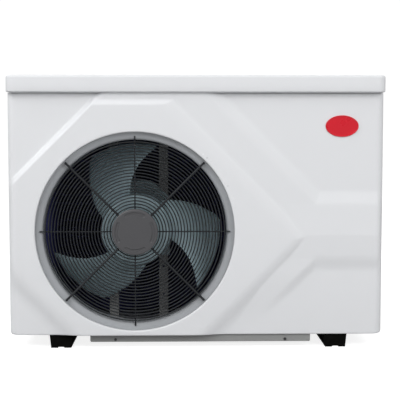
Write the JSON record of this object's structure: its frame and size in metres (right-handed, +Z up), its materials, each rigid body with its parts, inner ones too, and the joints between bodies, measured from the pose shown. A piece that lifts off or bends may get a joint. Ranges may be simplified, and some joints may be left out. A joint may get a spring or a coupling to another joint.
{
  "type": "swimming pool heat pump unit",
  "caption": "Floor-standing pool heat pump: white cabinet with a faceted front, round wire fan guard, overhanging lid, finned coil, rear water unions and a flap-covered controller.",
  "frame": {"origin": "on the ground, under the centre of the unit's overall box", "axes": "+X to the right seen from the front, +Y from the front into the unit, +Z up"},
  "size_m": [1.003, 0.48, 0.729],
  "materials": {
    "cabinet_white": "satin",
    "panel_white_steel": "satin",
    "shroud_grey": "matte",
    "guard_wire": "satin",
    "cap_grey": "satin",
    "fan_bluegrey": "satin",
    "zinc_steel": "galvanised",
    "bright_steel": "satin",
    "rail_grey": "satin",
    "leg_black": "matte",
    "badge_red": "gloss",
    "coil_fin": "coated",
    "copper": "satin",
    "black_paint": "semi-gloss",
    "black_plastic": "matte",
    "grey_plastic": "satin",
    "titanium": "satin",
    "union_blue_grey": "satin",
    "board_green": "lacquered",
    "window_glass": "tinted",
    "door_smoke": "smoked clear",
    "key_grey": "matte"
  },
  "bodies": {
    "cabinet": {"accumulator": "black_paint", "badge": "badge_red", "base_pan": "zinc_steel", "cable_gland": "black_plastic", "coil_end_plates": "zinc_steel", "coil_return_bends": "copper", "compressor": "black_paint", "compressor_bolts": "bright_steel", "compressor_grommets": "leg_black", "compressor_terminal_cover": "black_plastic", "control_board": "board_green", "controller_hinge_pin": "bright_steel", "controller_housing": "black_plastic", "display_window": "window_glass", "drain_nipple": "grey_plastic", "electrical_tray": "zinc_steel", "evaporator_fins": "coil_fin", "exchanger_stand": "black_plastic", "expansion_valve": "bright_steel", "fan_grille": "guard_wire", "fan_motor": "black_paint", "fan_shroud": "shroud_grey", "four_way_valve": "copper", "front_panel": "cabinet_white", "front_rail": "rail_grey", "grille_cap": "cap_grey", "grille_screws": "bright_steel", "heat_exchanger_shell": "black_plastic", "left_handle_cup": "grey_plastic", "left_leg": "leg_black", "left_side_panel": "panel_white_steel", "leg_bolts": "bright_steel", "motor_bracket": "rail_grey", "motor_plate": "fan_bluegrey", "motor_screws": "bright_steel", "panel_screws": "bright_steel", "partition": "zinc_steel", "rear_coil_guard": "cabinet_white", "rear_service_panel": "panel_white_steel", "refrigerant_pipes": "copper", "right_handle_cup": "grey_plastic", "right_leg": "leg_black", "right_side_panel": "panel_white_steel", "titanium_coil": "titanium", "top_cover": "cabinet_white", "tray_components": "grey_plastic", "tray_cover": "zinc_steel", "union_tails": "union_blue_grey", "valve_solenoid": "black_plastic", "water_stubs": "black_plastic"},
    "fan_rotor": {"fan_impeller": "fan_bluegrey", "motor_shaft": "bright_steel", "shaft_nut": "bright_steel"},
    "door": {"controller_door": "door_smoke"},
    "power_key": {"power_button": "key_grey"},
    "mode_key": {"mode_button": "key_grey"},
    "up_key": {"up_button": "key_grey"},
    "down_key": {"down_button": "key_grey"},
    "inlet_nut": {"inlet_union_nut": "union_blue_grey"},
    "outlet_nut": {"outlet_union_nut": "union_blue_grey"}
  },
  "joints": [
    {"name": "fan_spin", "type": "hinge", "parent": "cabinet", "child": "fan_rotor", "pos_m": [-0.163, -0.1, 0.314], "axis": [0, 1, 0], "continuous": true},
    {"name": "controller_door_hinge", "type": "hinge", "parent": "cabinet", "child": "door", "pos_m": [0.4978, -0.04, 0.604], "axis": [0, -1, 0], "range_deg": [0, 110]},
    {"name": "inlet_nut_spin", "type": "hinge", "parent": "cabinet", "child": "inlet_nut", "pos_m": [0.392, 0.203, 0.15], "axis": [0, 1, 0], "continuous": true},
    {"name": "outlet_nut_spin", "type": "hinge", "parent": "cabinet", "child": "outlet_nut", "pos_m": [0.392, 0.203, 0.43], "axis": [0, 1, 0], "continuous": true},
    {"name": "power_key_press", "type": "slide", "parent": "cabinet", "child": "power_key", "axis": [-1, 0, 0], "range_m": [0, 0.0015], "stiffness_N_per_m": 400, "springref_m": -0.001},
    {"name": "mode_key_press", "type": "slide", "parent": "cabinet", "child": "mode_key", "axis": [-1, 0, 0], "range_m": [0, 0.0015], "stiffness_N_per_m": 400, "springref_m": -0.001},
    {"name": "up_key_press", "type": "slide", "parent": "cabinet", "child": "up_key", "axis": [-1, 0, 0], "range_m": [0, 0.0015], "stiffness_N_per_m": 400, "springref_m": -0.001},
    {"name": "down_key_press", "type": "slide", "parent": "cabinet", "child": "down_key", "axis": [-1, 0, 0], "range_m": [0, 0.0015], "stiffness_N_per_m": 400, "springref_m": -0.001}
  ]
}
